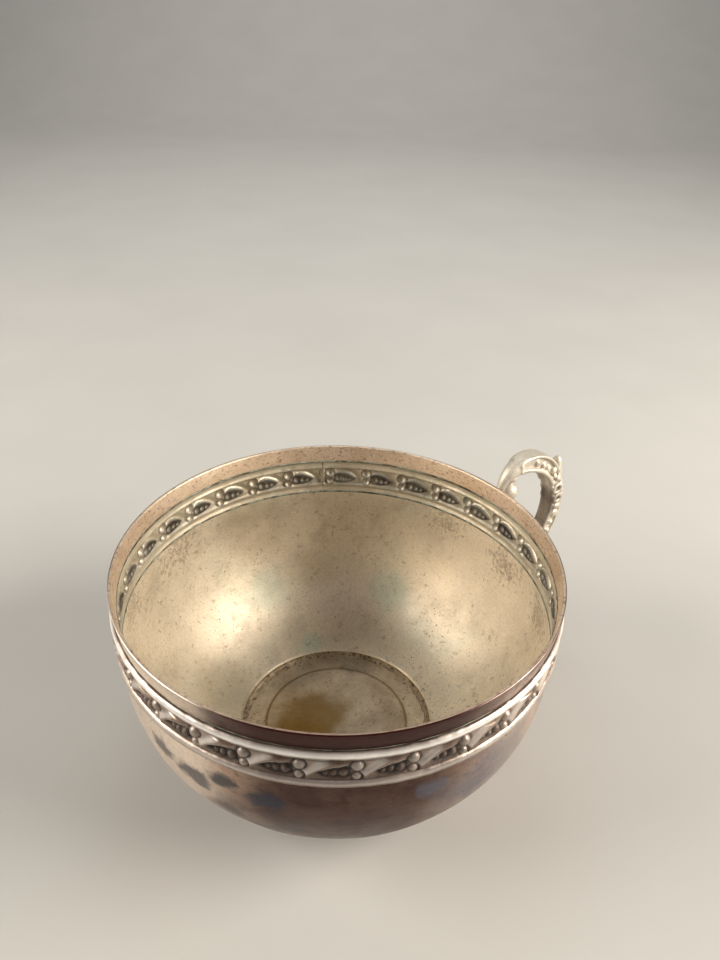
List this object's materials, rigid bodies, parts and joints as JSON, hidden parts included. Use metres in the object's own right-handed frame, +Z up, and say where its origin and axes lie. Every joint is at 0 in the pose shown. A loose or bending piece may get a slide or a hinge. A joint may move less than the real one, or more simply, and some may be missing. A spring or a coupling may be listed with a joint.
{
  "type": "handled cup",
  "caption": "Round metal cup with a plain lip, a rolled leaf-and-berry border under the rim, a round belly on a low foot and a cast scroll handle with a ball and a thumb spur.",
  "frame": {"origin": "middle of the foot, on the table", "axes": "+Z up along the axis of the cup, +X towards the handle"},
  "size_m": [0.126, 0.1008, 0.0624],
  "materials": {
    "lip_metal": "worn nickel silver sheet, pinkish tan tarnish",
    "border_metal": "rolled nickel silver, bright on the raised work and dark in the hollows",
    "bowl_metal": "spun nickel silver, warm khaki patina with grey-brown tarnish outside",
    "base_metal": "nickel silver sheet with ochre stains and small pits",
    "handle_metal": "cast nickel silver, pale cream-grey, worn bright on the edges",
    "seam_solder": "hard solder darkened with dirt and verdigris",
    "base_solder": "dark pitted solder",
    "handle_solder": "hard solder, dull grey"
  },
  "bodies": {
    "root": {"lip_collar": "lip_metal", "lip_seam": "seam_solder", "border_strip": "border_metal", "strip_joint": "seam_solder", "strip_seam": "seam_solder", "bowl": "bowl_metal", "base_disc": "base_metal", "base_seam": "base_solder", "handle": "handle_metal", "upper_solder": "handle_solder", "lower_solder": "handle_solder"}
  },
  "joints": []
}
